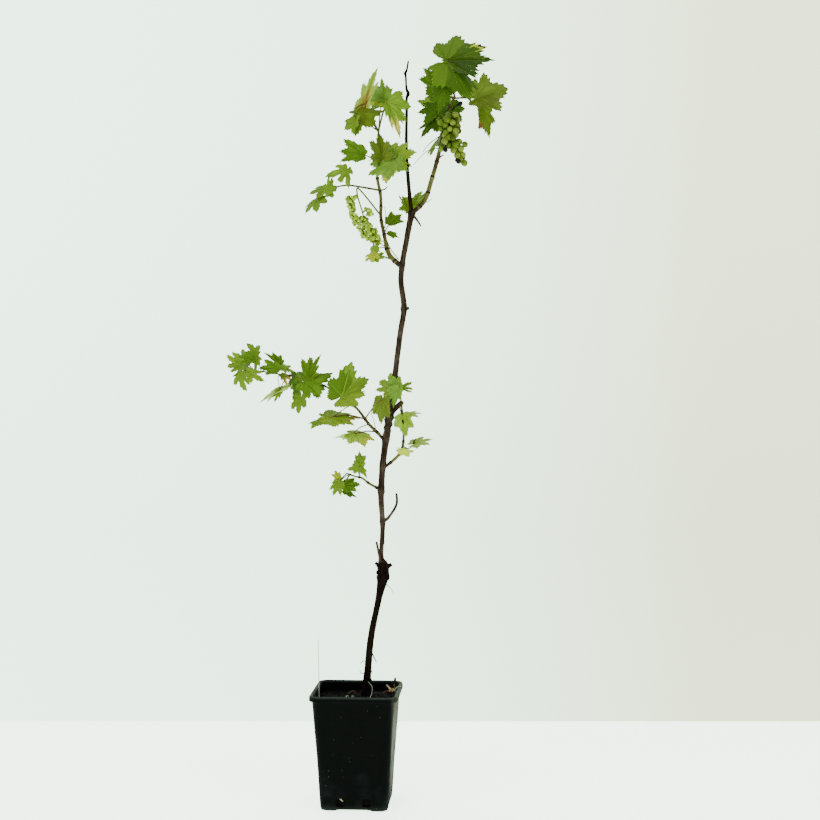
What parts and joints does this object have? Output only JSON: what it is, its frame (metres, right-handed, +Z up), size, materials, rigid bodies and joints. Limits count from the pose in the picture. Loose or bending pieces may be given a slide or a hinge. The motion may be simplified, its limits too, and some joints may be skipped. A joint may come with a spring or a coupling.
{
  "type": "potted grapevine",
  "caption": "Young grafted grapevine with green grapes, leafy side shoots and a dead leader, standing in a square black nursery pot filled with soil.",
  "frame": {"origin": "centre of the pot's flat underside, which stands on the ground", "axes": "+Z up along the trunk, -Y towards the viewer, +X to the viewer's right"},
  "size_m": [0.4782, 0.2437, 1.2945],
  "materials": {
    "pot_plastic": "satin black nursery plastic",
    "potting_mix": "rough, crumbly and matte",
    "bark": "rough fibrous bark, matte",
    "green_shoot": "smooth ripening shoot, dull satin",
    "foliage": "soft satin leaf"
  },
  "bodies": {
    "root": {"pot": "pot_plastic", "potting_soil": "potting_mix", "trunk": "bark", "leader_dead": "bark", "spur_dead": "bark", "stub_pruned": "bark", "bough_right": "green_shoot", "bough_left": "green_shoot", "bough_long": "green_shoot", "bough_side": "green_shoot", "bough_low": "green_shoot", "foliage_right_low": "foliage", "foliage_right_top": "foliage", "foliage_left_foot": "foliage", "foliage_left_arm": "foliage", "foliage_left_middle": "foliage", "foliage_left_top": "foliage", "foliage_long_near": "foliage", "foliage_long_middle": "foliage", "foliage_long_far": "foliage", "foliage_side_low": "foliage", "foliage_side_top": "foliage", "foliage_low": "foliage", "foliage_fork": "foliage"}
  },
  "joints": []
}
